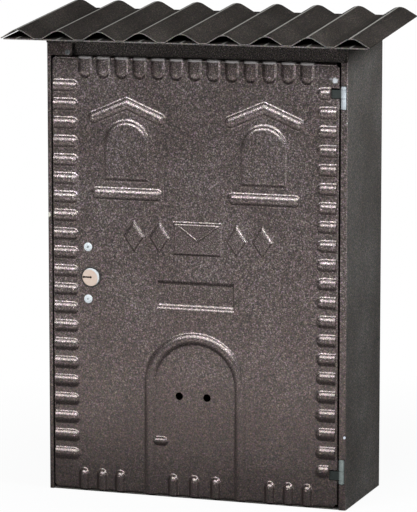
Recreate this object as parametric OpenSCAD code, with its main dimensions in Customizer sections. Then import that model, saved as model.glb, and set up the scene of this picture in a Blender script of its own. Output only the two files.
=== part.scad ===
// Wall mailbox folded and pressed from steel sheet in the shape of a small house:
// a box with a pressed door, a letter flap under the eave and a corrugated lean-to roof.
// The origin is the centre of the four wall holes on the back face, +Z up, the door faces -Y.

/* [Box] */
// Width of the box across the front
box_w = 210; // [206:1:220]
// Depth of the box from the wall to its front
box_d = 82; // [78:1:100]
// Height of the letter slot's upper edge above the box's foot
slot_top = 304; // [302:1:306]
// Thickness of the folded steel sheet
sheet_t = 0.8; // [0.7:0.1:0.9]
// Radius on the outside of each fold
fold_r = 1.6; // [1.4:0.1:1.8]
// Width of the left front lip
lip_left = 3; // [2.5:0.5:4]
// Width of the right front lip, which the hinge knuckles sit in
lip_right = 4.6; // [4.4:0.1:4.8]
// Width of the ear that closes the left end of the letter slot
ear_w = 18; // [14:1:22]

/* [Roof] */
// How far the roof stands out in front of the box
eave = 32; // [20:1:40]
// Height of the roof plate's front edge above the box's foot
eave_z = 308.6; // [308:0.1:310]
// Slope of the roof, rising to the wall
roof_slope = 6.3; // [5:0.1:8]
// How far the corrugated sheet sits to the right of the box's middle
roof_shift = 2; // [0:0.5:3]
// Number of crests in the corrugated sheet
crest_count = 9; // [8:1:9]
// Distance from crest to crest
crest_pitch = 28.65; // [27:0.05:30]
// Height of a crest above the roof plate
crest_h = 6.2; // [5.5:0.1:7]
// Slope of a crest's straight flanks
crest_flank = 31; // [29:1:33]
// Width of the flat valley between two crests
valley_w = 5.6; // [4:0.1:7]
// Thickness of the corrugated sheet
roof_t = 0.6; // [0.5:0.1:0.8]

/* [Door] */
// Height of the door's top edge above the box's foot
door_top = 295.5; // [294:0.5:296]
// Height of the door's lower edge above the box's foot
door_foot = 1.3; // [1.1:0.1:2]
// Gap between the door and the left lip
door_gap_left = 0.5; // [0.4:0.1:1]
// Gap between the door and the right lip
door_gap_right = 1.2; // [1:0.1:1.5]
// Depth of the door's folded edges
door_flange = 8; // [6:0.5:8]

/* [Pressed pattern] */
// How far the pressed ribs stand out of the door
rib_h = 1.8; // [1.6:0.1:2]
// Number of quoins down each side of the door
quoin_count = 21; // [19:1:21]
// Distance from quoin to quoin
quoin_pitch = 12.5; // [12.4:0.05:12.6]
// Width of a quoin and of the hoods, sills and the door arch
quoin_w = 10; // [9.4:0.1:10.4]
// Number of dentils under the eave
dentil_count = 13; // [9:2:13]
// Distance from dentil to dentil
dentil_pitch = 12.9; // [12:0.1:13]
// Distance of each window from the door's middle
window_x = 48; // [46:0.5:49]
// Width of a window
window_w = 35.4; // [33:0.2:36]
// Radius of the middle of the house door's arch
arch_r = 31.8; // [30:0.1:33]

/* [Lock] */
// Distance of the key plug to the left of the box's middle
lock_x = 73.8; // [70:0.1:75]
// Height of the key plug above the box's foot
lock_z = 147; // [140:1:150]
// Diameter of the key plug
plug_d = 12.6; // [11.6:0.1:12.8]
// Distance between the two lock rivets
rivet_gap = 35.3; // [34:0.1:37]
// Length of the cam from the plug's middle
cam_l = 25; // [24:0.5:26]

/* [Wall fixing] */
// Distance between the wall holes across
hole_gap_x = 140; // [100:1:150]
// Distance between the wall holes up and down
hole_gap_z = 180; // [140:1:200]
// Diameter of the wall holes
wall_hole_d = 5.5; // [4:0.1:7]
// Height of the wall holes' centre above the box's foot
hole_mid_z = 150; // [140:1:160]

/* [Hidden] */
$fn = 48;

// Colours of the finishes
coat = "#5b524e";
coat_roof = "#45433e";
coat_inside = "#4a4542";
zinc = "#b9bcbd";
brass = "#d9a784";

// Faces of the box
side_x = box_w / 2;
front_y = -box_d;
sheet_back_y = front_y + sheet_t;
reach = 400;

// Roof
plate_t = 0.8;
plate_setback = 0.8;
verge_lip = 0.5;
plate_inset = 1.6;
tab_w = 8;
eave_y = front_y - eave;
roof_run = (box_d + eave - 0.2) / cos(roof_slope);
flank_foot = crest_pitch / 2 - valley_w / 2;
crest_r = (flank_foot + roof_t * sin(crest_flank)
    - (crest_h - roof_t * cos(crest_flank)) / tan(crest_flank))
    / (sin(crest_flank) - (1 - cos(crest_flank)) / tan(crest_flank));
roof_half_w = crest_pitch * (crest_count - 1) / 2 + flank_foot + verge_lip;

// Door
door_left = -side_x + lip_left + door_gap_left;
door_right = side_x - lip_right - door_gap_right;
rib_wall = sheet_t;

// Hinges
knuckle_x = side_x - 3.1;
knuckle_y = front_y + 1.9;
knuckle_r = 2.1;
knuckle_bore_r = 1.3;
hinge_pin_r = 1.25;
hinge_gap = 0.3;
notch_w = 5.6;
// Upper hinge, heights above the box's foot: case knuckle, door knuckle, case knuckle
upper_z = [265.9, 272.9, 278.7];
upper_h = [6.7, 5.5, 1.2];
lower_z = [17.6, 20.1, 26.2];
lower_h = [2.2, 5.8, 6.9];
pin_head_h = 0.8;

// Flap
flap_axis_y = front_y + 2.8;
flap_axis_z = slot_top + 2.2;
flap_pin_r = 0.8;
flap_bore_r = 0.85;
flap_right = side_x - 1.9;
bracket_leg_x = -side_x + ear_w - 1;
flap_left = bracket_leg_x + sheet_t + 0.5;
bracket_rivet_x = bracket_leg_x - 1.8;
bracket_rivet_z = slot_top - 6.1;
bracket_rivet_r = 0.9;
flap_foot = door_top + 0.4;

// Lock, depths behind the door's front
rivet_x = lock_x + 2.1;
rivet_mid_z = lock_z + 2.75;
barrel_r = 6.9;
rim_r = 7.1;
rim_h = 0.9;
bore_r = plug_d / 2 + 0.05;
barrel_depth = 9.4;
lock_plate_t = 2;
cam_t = 1.5;
cam_gap = 0.2;
tail_w = 6.4;
rivet_shank_r = 1.5;
catch_y = front_y + door_flange + 0.5;

// Draws what is sized from the box's foot in the frame of the wall holes
module from_foot() translate([0, 0, -hole_mid_z]) children();

// Draws what is sized on the door's front face: x across, y up from the foot, z outwards
module on_front() from_foot() translate([0, front_y, 0]) rotate([90, 0, 0]) children();

// Draws what lies in the roof's slope: x across, y up the slope, z square to it
module in_roof() from_foot() translate([0, eave_y, eave_z]) rotate([roof_slope, 0, 0]) children();

// Takes away what stands above the roof plate's underside
module under_roof() {
    difference() {
        children();
        in_roof() translate([-reach / 2, -50, -plate_t]) cube([reach, reach, 60]);
    }
}

// A quarter round fold from +x to +y, with its outer radius at the origin's distance
module fold_2d() {
    difference() {
        circle(fold_r);
        circle(fold_r - sheet_t);
        translate([-2 * fold_r, -2 * fold_r]) square([2 * fold_r, 4 * fold_r]);
        translate([-2 * fold_r, -2 * fold_r]) square([4 * fold_r, 2 * fold_r]);
    }
}

// Plan of the back and the sides, with the two folds at the wall
module wrap_plan() {
    translate([-side_x + fold_r, -sheet_t]) square([box_w - 2 * fold_r, sheet_t]);
    for (s = [-1, 1]) {
        mirror([s < 0 ? 1 : 0, 0]) {
            translate([side_x - fold_r, -fold_r]) fold_2d();
            translate([side_x - sheet_t, front_y + fold_r])
                square([sheet_t, box_d - 2 * fold_r]);
        }
    }
}

// Plan of a front lip on the right side, of width w from the box's outside
module lip_plan(w) {
    translate([side_x - fold_r, front_y + fold_r]) mirror([0, 1]) fold_2d();
    translate([side_x - w, front_y]) square([w - fold_r, sheet_t]);
}

// Hole through the ear and the bracket behind it
module bracket_rivet_hole(start_y) {
    from_foot() translate([bracket_rivet_x, start_y, bracket_rivet_z]) rotate([-90, 0, 0])
        cylinder(r = bracket_rivet_r + 0.02, h = 4);
}

module wall_holes() {
    for (x = [-1, 1], z = [-1, 1])
        translate([x * hole_gap_x / 2, 1, z * hole_gap_z / 2])
            rotate([90, 0, 0]) cylinder(d = wall_hole_d, h = 4);
}

// Slot in the right front lip that a hinge's knuckles and pin show through
module hinge_slot(zs, hs) {
    foot = zs[0] - 0.6;
    top = zs[2] + hs[2] + pin_head_h + 0.4;
    from_foot() translate([side_x - lip_right - 1, front_y - 1, foot])
        cube([lip_right + 1 - sheet_t, 4, top - foot]);
}

// Folded tabs along the tops of the sides and the back, which the roof plate is welded to
module roof_tabs() {
    run = box_d / cos(roof_slope);
    start = eave / cos(roof_slope) + 1.5;
    for (s = [-1, 1])
        translate([s > 0 ? side_x - tab_w - sheet_t / 2 : -side_x + sheet_t / 2,
            start, -plate_t - sheet_t])
            cube([tab_w, run - 4, sheet_t]);
    translate([-side_x + tab_w, start + run - 2.1 - tab_w, -plate_t - sheet_t])
        cube([box_w - 2 * tab_w, tab_w, sheet_t]);
}

module case_wrap() {
    header_joint = slot_top - 0.15;
    color(coat) {
        difference() {
            union() {
                under_roof() from_foot() linear_extrude(slot_top + 40) wrap_plan();
                from_foot() linear_extrude(header_joint) mirror([1, 0]) lip_plan(lip_left);
                from_foot() translate([0, 0, door_top + 0.2])
                    linear_extrude(header_joint - door_top - 0.2) mirror([1, 0]) lip_plan(ear_w);
                from_foot() linear_extrude(door_top + 0.6) lip_plan(lip_right);
                // The right side runs on to the front past the end of the slot
                from_foot() translate([side_x - sheet_t, front_y, door_top + 0.6])
                    cube([sheet_t, fold_r, header_joint - door_top - 0.6]);
                // Both sides end behind the header
                under_roof() from_foot() for (s = [0, 1]) mirror([s, 0, 0])
                    translate([side_x - sheet_t, sheet_back_y + 0.1, slot_top - 0.15])
                        cube([sheet_t, fold_r - sheet_t - 0.1, 20]);
                in_roof() roof_tabs();
            }
            wall_holes();
            hinge_slot(upper_z, upper_h);
            hinge_slot(lower_z, lower_h);
            bracket_rivet_hole(front_y - 1);
        }
    }
}

// Tray that closes the foot, with edges folded up inside the sides and the back
module case_floor() {
    clear = 0.1;
    edge_h = 10;
    w = box_w - 2 * sheet_t - 2 * clear;
    d = box_d - 2 * sheet_t - 2 * clear;
    end_gap = 1;
    color(coat_inside) from_foot() {
        // The folds at both sides
        for (s = [0, 1]) mirror([s, 0, 0])
            translate([w / 2 - fold_r, -sheet_t - clear - end_gap, fold_r])
            rotate([90, 0, 0]) linear_extrude(d - 2 * end_gap) {
                mirror([0, 1]) fold_2d();
                translate([fold_r - sheet_t, 0]) square([sheet_t, edge_h - fold_r]);
            }
        translate([-w / 2 + fold_r, -sheet_t - clear - d, 0]) cube([w - 2 * fold_r, d, sheet_t]);
        translate([-w / 2 + fold_r, -2 * sheet_t - clear, 0])
            cube([w - 2 * fold_r, sheet_t, edge_h]);
    }
}

// Strip across the front above the letter slot, with its top folded in under the roof plate
module front_header() {
    color(coat) under_roof() {
        from_foot() translate([-side_x, front_y, slot_top]) cube([box_w, sheet_t, 30]);
        in_roof() translate([-side_x + tab_w + 1, eave / cos(roof_slope) + 0.2, -plate_t - sheet_t])
            cube([box_w - 2 * tab_w - 2, 10, sheet_t]);
    }
}

// Flat plate under the corrugated sheet
module roof_plate() {
    color(coat_roof) in_roof()
        translate([roof_shift - roof_half_w + plate_inset, plate_setback, -plate_t])
            cube([2 * roof_half_w - 2 * plate_inset, roof_run - plate_setback, plate_t]);
}

// One edge of the corrugated section: points of the crests from left to right at offset t
function crest_edge(t) = [
    for (i = [0 : crest_count - 1], a = [-crest_flank : crest_flank / 5 : crest_flank])
        let (x = crest_pitch * (i - (crest_count - 1) / 2), r = crest_r - roof_t + t)
            [x + r * sin(a), crest_h - crest_r + r * cos(a)]
];

// Foot points of the flanks, where they meet the valley's level at offset t
function flank_x(t) = let (r = crest_r - roof_t + t)
    r * sin(crest_flank) + (crest_h - crest_r + r * cos(crest_flank) - t) / tan(crest_flank);

function crest_line(t) = [
    for (i = [0 : crest_count - 1], k = [0 : 12])
        let (x = crest_pitch * (i - (crest_count - 1) / 2), n = i * 11 + k - 1)
            k == 0 ? [x - flank_x(t), t] : k == 12 ? [x + flank_x(t), t] : crest_edge(t)[n]
];

module roof_sheet() {
    top = crest_line(roof_t);
    under = crest_line(0);
    last = len(under) - 1;
    section = concat(
        [[-roof_half_w, 0], [-roof_half_w, roof_t]], top, [[roof_half_w, roof_t], [roof_half_w, 0]],
        [for (i = [0 : last]) under[last - i]]
    );
    color(coat_roof) in_roof() translate([roof_shift, roof_run, 0])
        rotate([90, 0, 0]) linear_extrude(roof_run) polygon(section);
}

// Angle on the left wall that the cam goes behind
module lock_catch() {
    catch_h = 18;
    color(zinc) from_foot() translate([-side_x + sheet_t, 0, lock_z - catch_h / 2])
        linear_extrude(catch_h) {
            translate([0, catch_y + fold_r]) square([sheet_t, 14]);
            translate([fold_r, catch_y + fold_r]) rotate(180) fold_2d();
            translate([fold_r, catch_y]) square([11, sheet_t]);
        }
}

// Half of a pressed edge's profile, drawn to the right of x = 0: a convex bend of radius
// crest with its top at height h, then a hollow bend of radius foot that runs out in the
// sheet. The bends cross at the angle join, and the hollow one meets the sheet at run_out.
module bend_profile(h, crest, foot) {
    run_out = 8;
    join = 9;
    base = -sheet_t / 2;
    apart = sqrt(crest * crest + foot * foot + 2 * crest * foot * cos(join));
    foot_y = foot * cos(run_out);
    foot_x = sqrt(apart * apart - pow(foot_y - h + crest, 2));
    a = atan2(foot_x, foot_y - h + crest);
    meet = crest - 0.25;
    meet_x = meet * sin(a);
    meet_y = h - crest + meet * cos(a);
    difference() {
        union() {
            intersection() {
                translate([0, h - crest]) circle(crest);
                translate([0, base]) square([crest + 1, h - base + 1]);
            }
            polygon([[0, base], [foot_x, base], [foot_x, foot_y], [meet_x, meet_y], [0, meet_y]]);
        }
        translate([foot_x, foot_y]) circle(foot);
    }
}

// Width from the crest's middle to the foot of such a profile, and its total bend radius
function bend_total(half, h) = half / sin(2 * atan(h / half));

// Half section of a rib of width w and height h, or of its hollow inside
module half_rib(w, h, inset) {
    total = bend_total(w / 2, h);
    crest = total * 0.67;
    if (inset == 0) bend_profile(h, crest, total - crest);
    if (inset > 0) intersection() {
        translate([0, h - crest]) circle(crest - inset);
        translate([0, -2 * sheet_t]) square([w, h + 3 * sheet_t]);
    }
}

module rib_section(w, h, inset = 0) {
    half_rib(w, h, inset);
    mirror([1, 0]) half_rib(w, h, inset);
}

// Round end of a rib: its section turned through half a turn
module rib_cap(w, h, inset) {
    rotate_extrude(angle = 180) half_rib(w, h, inset);
}

// Straight rib along +x; an end that isn't round is square
module rib(length, w, h, inset, round_start, round_end) {
    start = round_start ? 0 : inset;
    end = length - (round_end ? 0 : inset);
    translate([start, 0, 0]) rotate([90, 0, 90]) linear_extrude(end - start)
        rib_section(w, h, inset);
    if (round_start) rotate([0, 0, 90]) rib_cap(w, h, inset);
    if (round_end) translate([length, 0, 0]) rotate([0, 0, -90]) rib_cap(w, h, inset);
}

// Rows of short ribs up both edges, laid like the corner stones of a house
module quoins(inset) {
    first_z = 275.4;
    left_x = door_left + fold_r;
    left_l = 18.5 - quoin_w / 2;
    right_x = door_right - fold_r;
    right_l = 14.5 - quoin_w / 2;
    // At the hinges a row ends square beside the notch in the door's edge
    hinge_end = notch_w - fold_r + 0.4;
    for (i = [0 : quoin_count - 1]) {
        start = i == 0 || i == quoin_count - 1 ? hinge_end : 0;
        translate([left_x, first_z - i * quoin_pitch, 0])
            rib(left_l, quoin_w, rib_h, inset, false, true);
        translate([right_x - start, first_z - i * quoin_pitch, 0]) rotate([0, 0, 180])
            rib(right_l - start, quoin_w, rib_h, inset, false, true);
    }
}

// Short ribs that hang from the door's top edge
module dentils(inset) {
    dentil_w = 8.6;
    dentil_foot = 281.4;
    for (i = [0 : dentil_count - 1])
        translate([(i - (dentil_count - 1) / 2) * dentil_pitch, door_top - 0.5, 0])
            rotate([0, 0, -90])
                rib(door_top - 0.5 - dentil_foot - dentil_w / 2, dentil_w, 1.2, inset, false, true);
}

// Three groups of three upright ribs at the door's foot
module plinth_ribs(inset) {
    plinth_w = 9;
    plinth_top = 15.8;
    for (g = [-1, 0, 1], k = [-1, 0, 1])
        translate([g * 66 + k * (g == 0 ? 15 : 13) - 0.6, door_foot + 0.5, 0]) rotate([0, 0, 90])
            rib(plinth_top - plinth_w / 2 - door_foot - 0.5, plinth_w, 1.5, inset, false, true);
}

// Gabled hood of two ribs mitred at the ridge
module hood(inset) {
    half_w = 23.5;
    rise = 9.9;
    for (s = [0, 1]) mirror([s, 0, 0]) intersection() {
        translate([half_w, -rise, 0]) rotate([0, 0, 180 - atan(rise / half_w)])
            rib(norm([half_w, rise]) + 4, quoin_w, rib_h, inset, true, false);
        translate([0, -reach / 2, -5]) cube([reach, reach, 20]);
    }
}

// Flat raised field with bent edges: half of its section, or of its hollow inside
module half_field(w, h, run, inset) {
    total = bend_total(run, h);
    flat = w / 2 - run;
    if (inset == 0) {
        translate([0, -sheet_t / 2]) square([flat, h + sheet_t / 2]);
        translate([flat, 0]) bend_profile(h, total / 2, total / 2);
    }
    if (inset > 0) {
        low = -sheet_t - 0.2;
        shift = inset / sin(atan(h / run));
        polygon([[0, low], [w / 2 - run * low / h - shift, low],
            [w / 2 - run * (h - inset) / h - shift, h - inset], [0, h - inset]]);
    }
}

module field_section(w, h, run, inset) {
    half_field(w, h, run, inset);
    mirror([1, 0]) half_field(w, h, run, inset);
}

// Oblong field, w across and l up; its bent edges are run wide above and below and
// run_side wide at its sides
module field(w, l, h, run, run_side, inset) {
    intersection() {
        rotate([90, 0, 0]) translate([0, 0, -l]) linear_extrude(2 * l)
            field_section(w, h, run_side, inset);
        rotate([90, 0, 90]) translate([0, 0, -w]) linear_extrude(2 * w)
            field_section(l, h, run, inset);
    }
}

// Window field with a round head; the origin is the centre of the head
module window_field(inset) {
    h = 1.8;
    run = 4.8;
    body_l = 26;
    intersection() {
        rotate([90, 0, 0]) linear_extrude(body_l + 5) field_section(window_w, h, run, inset);
        rotate([90, 0, 90]) translate([0, 0, -window_w]) linear_extrude(2 * window_w)
            mirror([1, 0]) half_field(2 * body_l, h, run, inset);
    }
    rotate_extrude(angle = 180) half_field(window_w, h, run, inset);
}

module windows(inset) {
    hood_z = 264.6;
    head_z = 237.3;
    sill_z = 204.1;
    sill_l = 52.4 - quoin_w;
    for (s = [-1, 1]) translate([s * window_x, 0, 0]) {
        translate([0, hood_z, 0]) hood(inset);
        translate([0, head_z, 0]) window_field(inset);
        translate([-sill_l / 2, sill_z, 0]) rib(sill_l, quoin_w, rib_h, inset, true, true);
    }
}

// Round-headed ridge round the house door, and the door's handle
module house_door(inset) {
    spring_z = 77.1;
    ridge_w = quoin_w;
    translate([0, spring_z, 0]) rotate_extrude(angle = 180)
        translate([arch_r, 0]) rib_section(ridge_w, rib_h, inset);
    for (s = [-1, 1]) translate([s * arch_r, door_foot + 0.5, 0]) rotate([0, 0, 90])
        rib(spring_z - door_foot - 0.5 + (inset > 0 ? inset : 0), ridge_w, rib_h, inset, false, false);
    translate([-27.6, 38.2, 0]) rib(5.2, 7.4, rib_h, inset, true, true);
}

// Frieze with a closed letter between lozenges
module frieze(inset) {
    lozenge_w = 17;
    lozenge_h = 25;
    across = lozenge_w * lozenge_h / norm([lozenge_w, lozenge_h]);
    lean = atan(lozenge_w / lozenge_h);
    fold_lean = 36;
    translate([2, 176, 0]) {
        field(36, 24, 1.4, 3, 3, inset);
        for (s = [0, 1]) mirror([s, 0, 0]) intersection() {
            translate([13, 8.5, 0]) rotate([0, 0, 180 + fold_lean])
                rib(20, 3, 2, inset, true, false);
            translate([0, -20, -5]) cube([40, 40, 20]);
        }
        for (x = [-45, -27, 27, 45]) translate([x, 0, 0]) intersection() {
            rotate([0, 0, lean]) rotate([90, 0, 0]) translate([0, 0, -20]) linear_extrude(40)
                field_section(across, 1.4, 3, inset);
            rotate([0, 0, -lean]) rotate([90, 0, 0]) translate([0, 0, -20]) linear_extrude(40)
                field_section(across, 1.4, 3, inset);
        }
    }
}

// Sunk pocket for a name card: the recess, or the boss a wall's thickness behind it
module card_pocket(wall) {
    pocket_w = 55.8;
    pocket_h = 21.4;
    depth = 1.8;
    run = 5;
    run_side = 2.6;
    translate([0.1, 138, -wall]) mirror([0, 0, 1])
        field(pocket_w + 2 * wall * depth / run_side, pocket_h + 2 * wall * depth / run,
            depth, run, run_side, 0);
}

// Everything pressed outwards in the door: the outside with inset 0, the hollows with sheet_t
module pressings(inset) {
    quoins(inset);
    dentils(inset);
    plinth_ribs(inset);
    windows(inset);
    house_door(inset);
    frieze(inset);
}

// Folded edge of the door along +x, its fold ending at the origin's height
module door_edge(length) {
    rotate([90, 0, 90]) linear_extrude(length) {
        translate([0, -fold_r]) fold_2d();
        translate([fold_r - sheet_t, -door_flange]) square([sheet_t, door_flange - fold_r]);
    }
}

// Flat face of the door with its four folded edges, open at the corners
module door_tray() {
    w = door_right - door_left;
    h = door_top - door_foot;
    corner = 0.6;
    translate([door_left + fold_r, door_foot + fold_r, -sheet_t])
        cube([w - 2 * fold_r, h - 2 * fold_r, sheet_t]);
    translate([door_left + fold_r + corner, door_top - fold_r, 0])
        door_edge(w - 2 * fold_r - 2 * corner);
    translate([door_right - fold_r - corner, door_foot + fold_r, 0]) rotate([0, 0, 180])
        door_edge(w - 2 * fold_r - 2 * corner);
    translate([door_right - fold_r, door_top - fold_r - corner, 0]) rotate([0, 0, -90])
        door_edge(h - 2 * fold_r - 2 * corner);
    translate([door_left + fold_r, door_foot + fold_r + corner, 0]) rotate([0, 0, 90])
        door_edge(h - 2 * fold_r - 2 * corner);
}

// Holes through the door: two spy holes, the lock's barrel and its rivets
module door_holes() {
    spy_z = 69.5;
    spy_d = 5.3;
    for (x = [-11.2, 8.4]) translate([x, spy_z, -5]) cylinder(d = spy_d, h = 12);
    translate([-lock_x, lock_z, -5]) cylinder(r = barrel_r + 0.1, h = 12);
    for (s = [-1, 1]) translate([-rivet_x, rivet_mid_z + s * rivet_gap / 2, -5])
        cylinder(r = rivet_shank_r + 0.05, h = 12);
}

module door_panel() {
    notch_cut_h = 7;
    color(coat) on_front() difference() {
        union() {
            door_tray();
            pressings(0);
            card_pocket(rib_wall);
        }
        pressings(rib_wall);
        card_pocket(0);
        door_holes();
        for (k = [upper_z, lower_z])
            translate([door_right - notch_w, k[1] - 0.3, -2.5]) cube([10, notch_cut_h, 6]);
    }
}

// Rolled knuckle of a hinge leaf
module knuckle(z, h) {
    translate([knuckle_x, knuckle_y, z]) difference() {
        cylinder(r = knuckle_r, h = h);
        translate([0, 0, -1]) cylinder(r = knuckle_bore_r, h = h + 2);
    }
}

// Hinge leaf on the inside of the right wall, with two knuckles
module case_leaf(zs, hs) {
    leaf_y = knuckle_y + knuckle_r + 0.5;
    color(zinc) from_foot() {
        difference() {
            translate([knuckle_x + knuckle_r - sheet_t, knuckle_y, zs[0]])
                cube([sheet_t, 18, zs[2] + hs[2] - zs[0]]);
            translate([knuckle_x, knuckle_y, zs[0] - 1])
                cylinder(r = knuckle_bore_r, h = 20);
            translate([knuckle_x - 3, knuckle_y - 3, zs[1] - hinge_gap])
                cube([8, leaf_y - knuckle_y + 3, hs[1] + 2 * hinge_gap]);
        }
        for (i = [0, 2]) knuckle(zs[i], hs[i]);
    }
}

// Hinge leaf on the inside of the door, with one knuckle
module door_leaf(zs, hs) {
    strap_l = 20;
    color(zinc) from_foot() {
        knuckle(zs[1], hs[1]);
        translate([knuckle_x - knuckle_r + 0.6 - strap_l, sheet_back_y, zs[1]])
            cube([strap_l, sheet_t, hs[1]]);
    }
}

module hinge_pin(zs, hs) {
    top = zs[2] + hs[2];
    color(zinc) from_foot() translate([knuckle_x, knuckle_y, 0]) {
        translate([0, 0, zs[0] - 0.5]) cylinder(r = hinge_pin_r, h = top - zs[0] + 0.6);
        translate([0, 0, top]) cylinder(r = 1.9, h = pin_head_h);
    }
}

module hinge_upper_case_leaf() case_leaf(upper_z, upper_h);
module hinge_lower_case_leaf() case_leaf(lower_z, lower_h);
module hinge_upper_door_leaf() door_leaf(upper_z, upper_h);
module hinge_lower_door_leaf() door_leaf(lower_z, lower_h);
module hinge_upper_pin() hinge_pin(upper_z, upper_h);
module hinge_lower_pin() hinge_pin(lower_z, lower_h);

// Lock body behind the door, with the barrel that shows as a thin rim round the plug
module lock_housing() {
    plate_w = 20;
    plate_l = rivet_gap + 11;
    color(zinc) on_front() difference() {
        union() {
            translate([-lock_x, lock_z, -barrel_depth]) cylinder(r = barrel_r, h = barrel_depth);
            translate([-lock_x, lock_z, 0]) cylinder(r = rim_r, h = rim_h);
            translate([-rivet_x - plate_w / 2 + 1, rivet_mid_z - plate_l / 2,
                -sheet_t - lock_plate_t])
                cube([plate_w, plate_l, lock_plate_t]);
        }
        translate([-lock_x, lock_z, -20]) cylinder(r = bore_r, h = 30);
        for (s = [-1, 1]) translate([-rivet_x, rivet_mid_z + s * rivet_gap / 2, -10])
            cylinder(r = rivet_shank_r + 0.05, h = 12);
    }
}

// Hollow rivet: head in front of the sheet, rolled tail behind what it holds
module hollow_rivet(grip, shank_r, head_r, head_h, eye_r) {
    tail_h = 0.7;
    rotate_extrude() difference() {
        union() {
            translate([0, -grip]) square([shank_r, grip + 0.1]);
            translate([0, -grip - tail_h]) square([shank_r + 0.5, tail_h]);
            square([head_r, head_h * 0.45]);
            translate([0, head_h * 0.45]) square([head_r * 0.86, head_h * 0.3]);
            square([head_r * 0.66, head_h]);
        }
        translate([-1, -grip - 2]) square([eye_r + 1, grip + head_h + 4]);
    }
}

module lock_rivet(side, eye_r) {
    color(zinc) on_front() translate([-rivet_x, rivet_mid_z + side * rivet_gap / 2, 0])
        hollow_rivet(sheet_t + lock_plate_t, rivet_shank_r, 2.9, 1, eye_r);
}

module lock_rivet_upper() lock_rivet(1, 0.8);
module lock_rivet_lower() lock_rivet(-1, 0.5);

// Key plug with its keyway; the square tail behind it carries the cam
module lock_plug() {
    face_h = 1.2;
    chamfer = 0.5;
    slot_w = 1;
    slot_l = 5;
    r = plug_d / 2;
    color(brass) on_front() translate([-lock_x, lock_z, 0]) difference() {
        union() {
            rotate_extrude() polygon([[0, -barrel_depth], [r, -barrel_depth],
                [r, face_h - chamfer], [r - chamfer, face_h], [0, face_h]]);
            translate([-tail_w / 2, -tail_w / 2, -barrel_depth - cam_gap - cam_t])
                cube([tail_w, tail_w, cam_gap + cam_t + 0.1]);
        }
        translate([-slot_l, -slot_w / 2, -6]) cube([slot_l, slot_w, 10]);
        for (x = [-slot_l, 0]) translate([x, 0, -6]) cylinder(r = 0.75, h = 10);
        translate([0, 0, -barrel_depth - 4]) cylinder(r = 1.4, h = 8);
    }
}

// Cam that turns with the plug, drawn pointing up, which leaves the door free
module lock_cam() {
    cam_w = 13;
    tip_w = 10;
    hole_fit = 0.02;
    color(zinc) on_front() translate([-lock_x, lock_z, -barrel_depth - cam_gap - cam_t])
        difference() {
            union() {
                cylinder(d = cam_w, h = cam_t);
                translate([-tip_w / 2, 0, 0]) cube([tip_w, cam_l - 2, cam_t]);
                translate([-tip_w / 2 + 2, 0, 0]) cube([tip_w - 4, cam_l, cam_t]);
            }
            translate([-tail_w / 2 - hole_fit, -tail_w / 2 - hole_fit, -1])
                cube([tail_w + 2 * hole_fit, tail_w + 2 * hole_fit, cam_t + 2]);
        }
}

// Screw that holds the cam on the plug's tail
module cam_screw() {
    tail_z = -barrel_depth - cam_gap - cam_t;
    color(zinc) on_front() translate([-lock_x, lock_z, tail_z]) difference() {
        union() {
            cylinder(r = 1.38, h = 5);
            translate([0, 0, -1.8]) cylinder(r = 4.2, h = 1.8);
        }
        translate([-5, -0.4, -2.8]) cube([10, 0.8, 1.8]);
    }
}

// Bracket behind the ear: carries the flap's pin and stops the flap at its closed place
module flap_bracket_left() {
    foot = flap_foot + 0.9;
    top = flap_axis_z + 2.6;
    plate_w = 12;
    stop_w = 3;
    stop_gap = 0.03;
    color(zinc) difference() {
        from_foot() union() {
            translate([bracket_leg_x - plate_w + sheet_t, sheet_back_y, foot])
                cube([plate_w, sheet_t, top - foot]);
            translate([bracket_leg_x, sheet_back_y, foot]) cube([sheet_t, 5.4, top - foot]);
            translate([bracket_leg_x, flap_axis_y + flap_bore_r - stop_gap - sheet_t, foot])
                cube([stop_w, sheet_t, 3]);
        }
        from_foot() translate([bracket_leg_x - 1, flap_axis_y, flap_axis_z])
            rotate([0, 90, 0]) cylinder(r = flap_bore_r, h = 3);
        bracket_rivet_hole(front_y);
    }
}

module flap_bracket_right() {
    foot = flap_foot + 1;
    top = flap_axis_z + 2.6;
    color(zinc) from_foot() difference() {
        translate([side_x - 2 * sheet_t, sheet_back_y + 0.2, foot])
            cube([sheet_t, 6, top - foot]);
        translate([side_x - 5, flap_axis_y, flap_axis_z]) rotate([0, 90, 0])
            cylinder(r = flap_bore_r, h = 4.9);
    }
}

module flap_bracket_rivet() {
    color(zinc) from_foot() translate([bracket_rivet_x, front_y, bracket_rivet_z])
        rotate([90, 0, 0]) hollow_rivet(2 * sheet_t, bracket_rivet_r, 1.8, 0.8, 0.5);
}

module flap_pin() {
    left = bracket_leg_x - 1;
    color(zinc) from_foot() translate([left, flap_axis_y, flap_axis_z])
        rotate([0, 90, 0]) cylinder(r = flap_pin_r, h = side_x - sheet_t - left);
}

// Flap that swings in under the header, rolled round its pin at the top
module letter_flap() {
    roll_r = flap_bore_r + sheet_t;
    w = flap_right - flap_left;
    color(coat) from_foot() translate([flap_left, flap_axis_y, flap_axis_z])
        rotate([90, 0, 90]) linear_extrude(w) difference() {
            union() {
                circle(roll_r);
                translate([flap_bore_r, flap_foot - flap_axis_z])
                    square([sheet_t, flap_axis_z - flap_foot]);
            }
            circle(flap_bore_r);
        }
}

case_wrap();
case_floor();
front_header();
roof_plate();
roof_sheet();
lock_catch();
flap_bracket_left();
flap_bracket_right();
flap_bracket_rivet();
flap_pin();
hinge_upper_case_leaf();
hinge_lower_case_leaf();
hinge_upper_pin();
hinge_lower_pin();
door_panel();
hinge_upper_door_leaf();
hinge_lower_door_leaf();
lock_housing();
lock_rivet_upper();
lock_rivet_lower();
lock_plug();
lock_cam();
cam_screw();
letter_flap();
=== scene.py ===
import math

import bpy
from mathutils import Matrix, Vector

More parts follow.
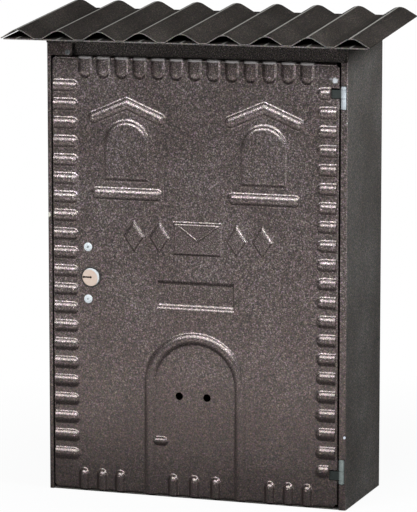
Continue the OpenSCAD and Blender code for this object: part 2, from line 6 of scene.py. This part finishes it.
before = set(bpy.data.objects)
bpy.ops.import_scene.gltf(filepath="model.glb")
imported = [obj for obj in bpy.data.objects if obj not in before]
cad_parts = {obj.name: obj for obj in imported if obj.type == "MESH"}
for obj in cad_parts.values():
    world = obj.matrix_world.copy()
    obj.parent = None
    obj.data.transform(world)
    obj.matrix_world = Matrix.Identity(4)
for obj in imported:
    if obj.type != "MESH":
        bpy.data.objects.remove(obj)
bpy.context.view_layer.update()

# Camera of the photograph: a long lens a little to the right of the box and above it,
# level from side to side, with the frame shifted down a touch as the picture was cropped.
camera = bpy.data.objects.new("camera", bpy.data.cameras.new("camera"))
bpy.context.scene.collection.objects.link(camera)
bpy.context.scene.camera = camera
photo_h, focal_px, shift_px = 512.0, 3131.0, -17.7
yaw, pitch = math.radians(19.03), math.radians(8.28)
look = Vector((-math.sin(yaw) * math.cos(pitch), math.cos(yaw) * math.cos(pitch), -math.sin(pitch)))
right = Vector((math.cos(yaw), math.sin(yaw), 0.0))
up = right.cross(look)
turn = Matrix((right, up, -look)).transposed().to_4x4()
camera.matrix_world = Matrix.Translation((0.6778, -2.0197, 0.3255)) @ turn
camera.data.sensor_width = 36.0
camera.data.lens = focal_px / photo_h * 36.0
camera.data.shift_y = shift_px / photo_h
camera.data.clip_end = 30.0


# Case: one sheet of 0.8 mm steel folded round the back, the sides and the front lips, with
# a folded tray let in as its floor. It is stove-painted in an antique bronze whose flakes
# float into a fine hammered grain, fuller on the front, where knocks have bared the zinc and
# bright spots are painted as glints of the corners.
def linear(code):
    """An sRGB hex colour as linear red, green, blue and alpha."""
    parts = [int(code[i:i + 2], 16) / 255 for i in (1, 3, 5)]
    return tuple(c / 12.92 if c <= 0.04045 else ((c + 0.055) / 1.055) ** 2.4 for c in parts) + (1.0,)


def add(tree, kind, settings=None, links=None, **attributes):
    """Adds a shader node. settings: input name to value; links: input name to an output."""
    node = tree.nodes.new(kind)
    for name, value in attributes.items():
        setattr(node, name, value)
    for name, value in (settings or {}).items():
        node.inputs[name].default_value = value
    for name, source in (links or {}).items():
        tree.links.new(source, node.inputs[name])
    return node


def blank(name):
    """A new material with its node tree emptied but for the output."""
    material = bpy.data.materials.new(name)
    material.use_nodes = True
    tree = material.node_tree
    tree.nodes.clear()
    return material, tree, add(tree, "ShaderNodeOutputMaterial", name="surface_out")


def lay_over(tree, mask, shader):
    """Covers what the material shows so far with shader, where mask is 1."""
    out = tree.nodes["surface_out"]
    both = add(tree, "ShaderNodeMixShader",
               links={0: mask.outputs[0], 1: out.inputs[0].links[0].from_socket, 2: shader.outputs[0]})
    tree.links.new(both.outputs[0], out.inputs[0])


def paint(node, material):
    """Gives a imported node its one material."""
    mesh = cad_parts[node].data
    mesh.materials.clear()
    mesh.materials.append(material)


def paint_faces(node, material, chosen):
    """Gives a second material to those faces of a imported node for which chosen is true."""
    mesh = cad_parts[node].data
    mesh.materials.append(material)
    for polygon in mesh.polygons:
        if chosen(polygon):
            polygon.material_index = 1


def spot(tree, place, centre, reach_mm):
    """A ragged round spot, 1 within about reach_mm of centre and 0 outside."""
    reach, tooth = reach_mm / 1000, 0.6
    edge = add(tree, "ShaderNodeTexNoise", {"Scale": 1 / (reach * tooth), "Detail": 2.0},
               {"Vector": place.outputs["Object"]})
    away = add(tree, "ShaderNodeVectorMath", {1: centre}, {0: place.outputs["Object"]},
               operation="DISTANCE")
    ragged = add(tree, "ShaderNodeMath", {1: reach}, {0: edge.outputs["Fac"], 2: away.outputs["Value"]},
                 operation="MULTIPLY_ADD")
    return add(tree, "ShaderNodeMapRange", {"From Min": reach * 1.6, "From Max": reach * 1.2},
               {"Value": ragged.outputs[0]})


def hammered(name, tones, grain_mm, bump_mm, roughness, metallic, shine, gloss,
             chips_and_glints=(), cloud=0.12, calm=0.0):
    """Hammered metallic paint: flakes of four tones, grain_mm across, in a rippled clear film.
    cloud: share of broad patches; calm: how much the grain fades towards the foot;
    chips_and_glints: places where it is knocked off, or white spots painted as glints, each a
    centre, a reach in mm and a colour."""
    contrast, patch_mm, fade_z, tint = 0.2, 40.0, -0.1, 0.45
    material, tree, out = blank(name)
    place = add(tree, "ShaderNodeTexCoord", name="place")
    fine = add(tree, "ShaderNodeTexNoise", {"Scale": 1000 / grain_mm, "Detail": 3.0, "Roughness": 0.7},
               {"Vector": place.outputs["Object"]})
    broad = add(tree, "ShaderNodeTexNoise", {"Scale": 1000 / patch_mm, "Detail": 2.0, "Roughness": 0.5},
                {"Vector": place.outputs["Object"]})
    mixed = add(tree, "ShaderNodeMath", {1: cloud}, {0: broad.outputs["Fac"], 2: fine.outputs["Fac"]},
                operation="MULTIPLY_ADD")
    middle = 0.5 + cloud / 2
    height = add(tree, "ShaderNodeSeparateXYZ", links={0: place.outputs["Object"]})
    kept = add(tree, "ShaderNodeMapRange",
               {"From Min": 0.0, "From Max": fade_z, "To Min": 1.0, "To Max": 1 - calm},
               {"Value": height.outputs["Z"]})
    swing = add(tree, "ShaderNodeMath", {1: middle}, {0: mixed.outputs[0]}, operation="SUBTRACT")
    grain = add(tree, "ShaderNodeMath", {2: middle}, {0: swing.outputs[0], 1: kept.outputs[0]},
                operation="MULTIPLY_ADD")
    flakes = add(tree, "ShaderNodeValToRGB", links={"Fac": grain.outputs[0]})
    ramp = flakes.color_ramp
    ramp.elements[0].position = middle - contrast
    ramp.elements[0].color = linear(tones[0])
    ramp.elements[1].position = middle + contrast
    ramp.elements[1].color = linear(tones[3])
    ramp.elements.new(middle - 0.15 * contrast).color = linear(tones[1])
    ramp.elements.new(middle + 0.3 * contrast).color = linear(tones[2])
    hues = add(tree, "ShaderNodeTexNoise", {"Scale": 1000 / grain_mm, "Detail": 1.0},
               {"Vector": place.outputs["Object"]})
    specks = add(tree, "ShaderNodeMix", {"Factor": tint}, data_type="RGBA", blend_type="OVERLAY")
    tree.links.new(flakes.outputs["Color"], specks.inputs[6])
    tree.links.new(hues.outputs["Color"], specks.inputs[7])
    film = add(tree, "ShaderNodeTexNoise", {"Scale": 1000 / (grain_mm * 1.6), "Detail": 1.0},
               {"Vector": place.outputs["Object"]})
    ripple = add(tree, "ShaderNodeBump", {"Strength": 1.0, "Distance": bump_mm / 1000},
                 {"Height": film.outputs["Fac"]}, name="ripple")
    skin = add(tree, "ShaderNodeBsdfPrincipled",
               {"Roughness": roughness, "Metallic": metallic, "Specular IOR Level": shine,
                "Coat Weight": gloss, "Coat Roughness": 0.33},
               {"Base Color": specks.outputs[2], "Normal": ripple.outputs["Normal"],
                "Coat Normal": ripple.outputs["Normal"]})
    tree.links.new(skin.outputs[0], out.inputs[0])
    # Each spot is bare metal or a painted glint, laid over the paint.
    for centre, reach_mm, colour in chips_and_glints:
        bare_or_glint = add(tree, "ShaderNodeBsdfPrincipled",
                   {"Base Color": linear(colour), "Roughness": 0.4, "Metallic": 0.1})
        lay_over(tree, spot(tree, place, centre, reach_mm), bare_or_glint)
    return material


# Spots on the front: a chip bared to the metal at the left edge, white spots at the right corner that are
# painted glints, and a pale patch with a grey spot at the door's top-right corner painted as the highlight
# of a bent corner.
chips_and_glints = [((-0.1045, -0.082, 0.0381), 1.9, "#fff6e4"), ((0.1047, -0.082, 0.1069), 0.6, "#ffffff"),
         ((0.1040, -0.082, -0.1010), 1.0, "#f4f6ff"), ((0.0962, -0.082, 0.1345), 2.0, "#e4e2e4"),
         ((0.0935, -0.082, 0.1355), 1.0, "#9a9494")]
case_coat = hammered("case_hammered_bronze_paint_on_folded_steel",
                     ("#44403c", "#5e5955", "#66625e", "#8c8883"), grain_mm=0.9, bump_mm=0.01,
                     roughness=0.6, metallic=0.0, shine=0.05, gloss=0.0, cloud=0.3)
front_coat = hammered("front_hammered_bronze_paint_on_pressed_steel",
                      ("#2f2624", "#6a5b57", "#82746f", "#d4d0d4"), grain_mm=0.85, bump_mm=0.1,
                      roughness=0.32, metallic=0.78, shine=0.15, gloss=0.8, chips_and_glints=chips_and_glints, calm=0.45)
for node in ("case_wrap", "case_floor"):
    paint(node, case_coat)
paint_faces("case_wrap", front_coat, lambda polygon: polygon.normal.y < -0.5)

# Header and flap: a strip of steel spot-welded across the front above the letter slot, and
# the long flap that hangs behind the slot. Their coat is a darker, greyer copy of the front's,
# painted shade for the shade under the eave and in the slot.
slot_coat_painted_shade = hammered("slot_hammered_bronze_paint_darkened_as_painted_shade",
                     ("#262422", "#5a5451", "#736c68", "#d0ccc8"), grain_mm=0.8, bump_mm=0.08,
                     roughness=0.36, metallic=0.7, shine=0.1, gloss=0.3)
for node in ("front_header", "letter_flap"):
    paint(node, slot_coat_painted_shade)

# Roof: a flat plate with a corrugated sheet welded on it, both sprayed in a darker, smoother
# grey-brown than the box. A pale streak along each crest is a painted highlight, and the
# front-facing cut edges get a paler copy of the paint.
roof_coat = hammered("roof_grey_brown_satin_paint",
                     ("#1e1b19", "#35312e", "#3f3a36", "#5c5651"), grain_mm=0.9, bump_mm=0.008,
                     roughness=0.6, metallic=0.0, shine=0.03, gloss=0.0, cloud=0.3)
crest_pitch, first_crest, crest_highlight_w = 0.02865, 0.0009, 0.0011
tree = roof_coat.node_tree
place = tree.nodes["place"]
across = add(tree, "ShaderNodeSeparateXYZ", links={0: place.outputs["Object"]})
phase = add(tree, "ShaderNodeMath", {1: first_crest}, {0: across.outputs["X"]}, operation="SUBTRACT")
from_crest = add(tree, "ShaderNodeMath", {1: crest_pitch / 2}, {0: phase.outputs[0]},
                 operation="PINGPONG")
# Painted highlight: a narrow pale band beside each crest, on the upward faces.
near_crest = add(tree, "ShaderNodeMapRange",
             {"From Min": crest_highlight_w, "From Max": crest_highlight_w * 0.4, "To Max": 1.0},
             {"Value": from_crest.outputs[0]})
facing = add(tree, "ShaderNodeSeparateXYZ", links={0: place.outputs["Normal"]})
on_top = add(tree, "ShaderNodeMapRange", {"From Min": 0.3, "From Max": 0.5},
             {"Value": facing.outputs["Z"]})
crest_highlight = add(tree, "ShaderNodeMath", links={0: near_crest.outputs[0], 1: on_top.outputs[0]},
             operation="MULTIPLY")
lay_over(tree, crest_highlight, add(tree, "ShaderNodeBsdfDiffuse", {"Color": linear("#a39e97")}))
# The front-facing cut edges of plate and sheet get a paler copy of the roof's paint.
edge_coat = hammered("roof_paint_paler_on_cut_edge",
                     ("#5a5552", "#7d7672", "#8f8884", "#b5aeaa"), grain_mm=0.9, bump_mm=0.008,
                     roughness=0.45, metallic=0.3, shine=0.2, gloss=0.0)
for node in ("roof_plate", "roof_sheet"):
    paint(node, roof_coat)
    paint_faces(node, edge_coat, lambda polygon: polygon.normal.y < -0.9)


# Door: one sheet of steel pressed over a die into quoins, dentils, windows and a small house
# door, with four folded edges, painted as the front lips. The flanks of the dentils and foot
# ribs are crisper than the solid's, so their relief is also in the bump of the paint.
def bars(tree, from_middle, past_end, pitch, half_w, count):
    """Height, 0 to 1, of a row of upright bars, each with one round end. from_middle: distance
    from the row's middle; past_end: distance past the centres of the round ends, else 0."""
    flank = 0.0012
    aside = add(tree, "ShaderNodeMath", {1: pitch / 2}, {0: from_middle.outputs[0]},
                operation="PINGPONG")
    both = add(tree, "ShaderNodeCombineXYZ", links={0: aside.outputs[0], 1: past_end.outputs[0]})
    away = add(tree, "ShaderNodeVectorMath", links={0: both.outputs[0]}, operation="LENGTH")
    bar = add(tree, "ShaderNodeMapRange", {"From Min": half_w + flank, "From Max": half_w - flank},
              {"Value": away.outputs["Value"]}, interpolation_type="SMOOTHSTEP")
    within = add(tree, "ShaderNodeMath", {1: pitch * count / 2}, {0: from_middle.outputs[0]},
                 operation="LESS_THAN")
    return add(tree, "ShaderNodeMath", links={0: bar.outputs[0], 1: within.outputs[0]},
               operation="MULTIPLY")


door_coat = front_coat.copy()
door_coat.name = "door_hammered_bronze_paint_on_pressed_steel"
tree = door_coat.node_tree
at = add(tree, "ShaderNodeSeparateXYZ", links={0: tree.nodes["place"].outputs["Object"]})
dentil_pitch, dentil_half_w, dentil_end_z, dentil_h = 0.0129, 0.0043, 0.1357, 0.0016
from_middle = add(tree, "ShaderNodeMath", links={0: at.outputs["X"]}, operation="ABSOLUTE")
above = add(tree, "ShaderNodeMath", {1: dentil_end_z}, {0: at.outputs["Z"]}, operation="SUBTRACT")
below_end = add(tree, "ShaderNodeMath", {1: 0.0}, {0: above.outputs[0]}, operation="MINIMUM")
dentils = bars(tree, from_middle, below_end, dentil_pitch, dentil_half_w, 13)
relief = add(tree, "ShaderNodeBump", {"Strength": 1.0, "Distance": dentil_h},
             {"Height": dentils.outputs[0]})

group_x, middle_x = 0.066, -0.0006
foot_rib_half_w, foot_rib_end_z, foot_rib_h = 0.0029, -0.1375, 0.0012
shifted = add(tree, "ShaderNodeMath", {1: middle_x}, {0: at.outputs["X"]}, operation="SUBTRACT")
from_middle = add(tree, "ShaderNodeMath", links={0: shifted.outputs[0]}, operation="ABSOLUTE")
from_group = add(tree, "ShaderNodeMath", {1: group_x}, {0: from_middle.outputs[0]},
                 operation="SUBTRACT")
from_side_group = add(tree, "ShaderNodeMath", links={0: from_group.outputs[0]}, operation="ABSOLUTE")
above = add(tree, "ShaderNodeMath", {1: foot_rib_end_z}, {0: at.outputs["Z"]}, operation="SUBTRACT")
above_end = add(tree, "ShaderNodeMath", {1: 0.0}, {0: above.outputs[0]}, operation="MAXIMUM")
middle_ribs = bars(tree, from_middle, above_end, 0.015, foot_rib_half_w, 3)
side_ribs = bars(tree, from_side_group, above_end, 0.013, foot_rib_half_w, 3)
foot_ribs = add(tree, "ShaderNodeMath", links={0: middle_ribs.outputs[0], 1: side_ribs.outputs[0]},
                operation="MAXIMUM")
foot_relief = add(tree, "ShaderNodeBump", {"Strength": 1.0, "Distance": foot_rib_h},
                  {"Height": foot_ribs.outputs[0], "Normal": relief.outputs["Normal"]})
tree.links.new(foot_relief.outputs["Normal"], tree.nodes["ripple"].inputs["Normal"])

# Painted highlight: a thin white dash along the top fold, where each dentil meets it.
at_top = add(tree, "ShaderNodeMapRange", {"From Min": 0.1437, "From Max": 0.1441},
             {"Value": at.outputs["Z"]})
fold_highlight = add(tree, "ShaderNodeMath", links={0: dentils.outputs[0], 1: at_top.outputs[0]},
           operation="MULTIPLY")
lay_over(tree, fold_highlight, add(tree, "ShaderNodeBsdfPrincipled",
                         {"Base Color": linear("#fff4f0"), "Roughness": 0.5}))
paint("door_panel", door_coat)

# Brackets that the flap's pin rests in and the catch of the lock: small angles bent from
# strip steel, spot-welded inside the case and painted with it.
for node in ("flap_bracket_left", "flap_bracket_right", "lock_catch"):
    paint(node, case_coat)


# Lock, rivets and pin: a die-cast housing darkened as painted shade round its rim, and steel
# fittings with bright zinc plating, held by hollow rivets.
def metal(name, dark, light, cloud_mm, roughness, metallic, gloss=0.0):
    """Bare or plated metal, clouded between two tones."""
    material, tree, out = blank(name)
    place = add(tree, "ShaderNodeTexCoord", name="place")
    cloud = add(tree, "ShaderNodeTexNoise", {"Scale": 1000 / cloud_mm, "Detail": 2.0},
                {"Vector": place.outputs["Object"]})
    tone = add(tree, "ShaderNodeValToRGB", links={"Fac": cloud.outputs["Fac"]})
    tone.color_ramp.elements[0].color = linear(dark)
    tone.color_ramp.elements[1].color = linear(light)
    skin = add(tree, "ShaderNodeBsdfPrincipled",
               {"Roughness": roughness, "Metallic": metallic, "Coat Weight": gloss, "Coat Roughness": 0.35},
               {"Base Color": tone.outputs["Color"]})
    tree.links.new(skin.outputs[0], out.inputs[0])
    return material


housing_painted_shade = metal("zinc_alloy_darkened_as_painted_shade_at_the_rim", "#2b2624", "#66625f",
                     cloud_mm=3.0, roughness=0.4, metallic=0.4)
paint("lock_housing", housing_painted_shade)
zinc = metal("zinc_plated_steel", "#f0f4f6", "#ffffff",
             cloud_mm=1.5, roughness=0.4, metallic=0.0, gloss=1.0)
for node in ("lock_rivet_upper", "lock_rivet_lower", "lock_cam", "cam_screw",
             "flap_pin", "flap_bracket_rivet"):
    paint(node, zinc)

# Key plug, turned from reddish brass and left bright, with a white crescent at its right rim
# painted as the highlight of its bevel. Its keyway is a deep slot, its inner faces painted
# near black as painted shade.
brass = metal("turned_reddish_brass", "#f4cfb8", "#ffe9da",
              cloud_mm=2.0, roughness=0.38, metallic=0.1, gloss=0.6)
tree = brass.node_tree
# Painted highlight: a white crescent on the rim, from a ring round an off-centre point.
off_centre = add(tree, "ShaderNodeVectorMath", {1: (-0.0749, -0.083, -0.0039)},
                 {0: tree.nodes["place"].outputs["Object"]}, operation="DISTANCE")
rim_highlight = add(tree, "ShaderNodeMapRange", {"From Min": 0.0059, "From Max": 0.0063},
            {"Value": off_centre.outputs["Value"]})
lay_over(tree, rim_highlight, add(tree, "ShaderNodeBsdfPrincipled",
                          {"Base Color": linear("#ffffff"), "Roughness": 0.4,
                           "Coat Weight": 1.0, "Coat Roughness": 0.35}))
paint("lock_plug", brass)
# Painted shade: near-black brass on every face behind the plug's front face.
keyway_painted_shade = metal("brass_darkened_as_painted_shade_in_the_keyway", "#0c0908", "#1c1411",
               cloud_mm=1.5, roughness=0.6, metallic=0.2)
plug_face_y = -0.0829
paint_faces("lock_plug", keyway_painted_shade, lambda polygon: polygon.center.y > plug_face_y)

# Hinges: zinc-plated steel leaves rolled round a pin. The knuckles show as bright strips in
# the right lip, the upper one lightened as a painted highlight and the lower one a weathered
# greenish grey, and the door's leaves are darkened as painted shade in their notches.
leaf_painted_shade = metal("zinc_plated_steel_darkened_as_painted_shade", "#2b2f2d", "#3d423f",
                  cloud_mm=1.5, roughness=0.5, metallic=0.3)
# The upper knuckle's lighter plating is a painted highlight.
knuckle = {"hinge_upper": metal("zinc_plated_steel_lightened_as_painted_highlight", "#b4b8bc", "#f4f8fc",
                                cloud_mm=4.0, roughness=0.35, metallic=0.3),
           "hinge_lower": metal("weathered_zinc_plated_steel", "#8f9894", "#b4bbb6",
                                cloud_mm=1.5, roughness=0.35, metallic=0.4)}
knuckle_wall = 0.0012
for hinge, plating in knuckle.items():
    paint(hinge + "_case_leaf", plating)
    paint(hinge + "_pin", plating)
    paint(hinge + "_door_leaf", leaf_painted_shade)
    knuckle_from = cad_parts[hinge + "_pin"].bound_box[0][0] - knuckle_wall
    paint_faces(hinge + "_door_leaf", plating, lambda polygon: polygon.center.x > knuckle_from)

# Floor: one level sheet of white paper under the box, in a room that is white where the camera
# looks past it. It keeps the box's soft shadow, and in reflections only its front part is white.
half_sheet, floor_z = 1.6, -0.15
corners = [(x * half_sheet, y * half_sheet, floor_z) for x, y in ((-1, -1), (1, -1), (1, 1), (-1, 1))]
mesh = bpy.data.meshes.new("paper_floor")
mesh.from_pydata(corners, [], [(0, 1, 2, 3)])
paper = bpy.data.objects.new("paper_floor", mesh)
bpy.context.scene.collection.objects.link(paper)
white, tree, out = blank("white_paper")
rays = add(tree, "ShaderNodeLightPath")
place = add(tree, "ShaderNodeTexCoord")
from_box = add(tree, "ShaderNodeVectorMath", {1: (0.0, 0.0, floor_z)}, {0: place.outputs["Object"]},
               operation="DISTANCE")
white_at = add(tree, "ShaderNodeMapRange",
               {"From Min": 0.12, "From Max": 0.4, "To Min": 0.93, "To Max": 1.0},
               {"Value": from_box.outputs["Value"]})
in_view = add(tree, "ShaderNodeMath", links={0: rays.outputs["Is Camera Ray"], 1: white_at.outputs[0]},
              operation="MULTIPLY")
ahead = add(tree, "ShaderNodeVectorMath", {1: (0.0, -1.0, 0.0)}, {0: place.outputs["Object"]},
            operation="DOT_PRODUCT")
mirror_rise = add(tree, "ShaderNodeMapRange",
                  {"From Min": 0.15, "From Max": 0.36, "To Min": 0.0, "To Max": 0.85},
                  {"Value": ahead.outputs["Value"]})
mirror_fall = add(tree, "ShaderNodeMapRange",
                  {"From Min": 0.4, "From Max": 1.2, "To Min": 1.0, "To Max": 0.4},
                  {"Value": ahead.outputs["Value"]})
mirror_at = add(tree, "ShaderNodeMath", links={0: mirror_rise.outputs[0], 1: mirror_fall.outputs[0]},
                operation="MULTIPLY")
mirrored = add(tree, "ShaderNodeMath", operation="MAXIMUM",
               links={0: rays.outputs["Is Glossy Ray"], 1: rays.outputs["Is Transmission Ray"]})
in_mirror = add(tree, "ShaderNodeMath", links={0: mirrored.outputs[0], 1: mirror_at.outputs[0]},
                operation="MULTIPLY")
share = add(tree, "ShaderNodeMath", links={0: in_view.outputs[0], 1: in_mirror.outputs[0]},
            operation="MAXIMUM")
tone = add(tree, "ShaderNodeMapRange", {"To Min": 0.09, "To Max": 0.9},
           {"Value": rays.outputs["Is Camera Ray"]})
matt = add(tree, "ShaderNodeBsdfDiffuse", links={"Color": tone.outputs[0]})
tree.links.new(matt.outputs[0], out.inputs[0])
lay_over(tree, share, add(tree, "ShaderNodeEmission", {"Color": linear("#ffffff"), "Strength": 1.0}))
mesh.materials.append(white)


# Light: a wide soft box in front and above, weak fills from the right, from above the right
# side and from behind, and a dim grey room that is white where the camera looks past the paper.
def soft_box(name, place, width, height, watts):
    """A rectangular lamp that faces the box."""
    lamp = bpy.data.lights.new(name, "AREA")
    lamp.shape = "RECTANGLE"
    lamp.size = width
    lamp.size_y = height
    lamp.energy = watts
    lamp.color = (0.9, 0.96, 1.0)
    thing = bpy.data.objects.new(name, lamp)
    bpy.context.scene.collection.objects.link(thing)
    thing.location = place
    thing.rotation_euler = (box_middle - Vector(place)).to_track_quat("-Z", "Y").to_euler()


box_middle = Vector((0.0, -0.05, 0.0))
soft_box("key_lamp", (-0.15, -1.6, 1.0), 2.0, 0.6, 32.0)
soft_box("right_fill_lamp", (1.4, -0.55, 0.0), 0.5, 0.6, 2.2)
soft_box("side_lamp", (0.5, -0.2, 0.42), 0.2, 0.2, 2.3)
soft_box("back_lamp", (-0.5, 1.7, 0.05), 1.0, 0.3, 14.0)
world = bpy.data.worlds.new("grey_room")
bpy.context.scene.world = world
world.use_nodes = True
tree = world.node_tree
tree.nodes.clear()
rays = add(tree, "ShaderNodeLightPath")
room = add(tree, "ShaderNodeBackground", {"Color": (0.07, 0.07, 0.07, 1.0), "Strength": 1.0})
beyond = add(tree, "ShaderNodeBackground", {"Color": linear("#ffffff"), "Strength": 1.0})
both = add(tree, "ShaderNodeMixShader",
           links={0: rays.outputs["Is Camera Ray"], 1: room.outputs[0], 2: beyond.outputs[0]})
tree.links.new(both.outputs[0], add(tree, "ShaderNodeOutputWorld").inputs[0])
bpy.context.scene.view_settings.view_transform = "Standard"
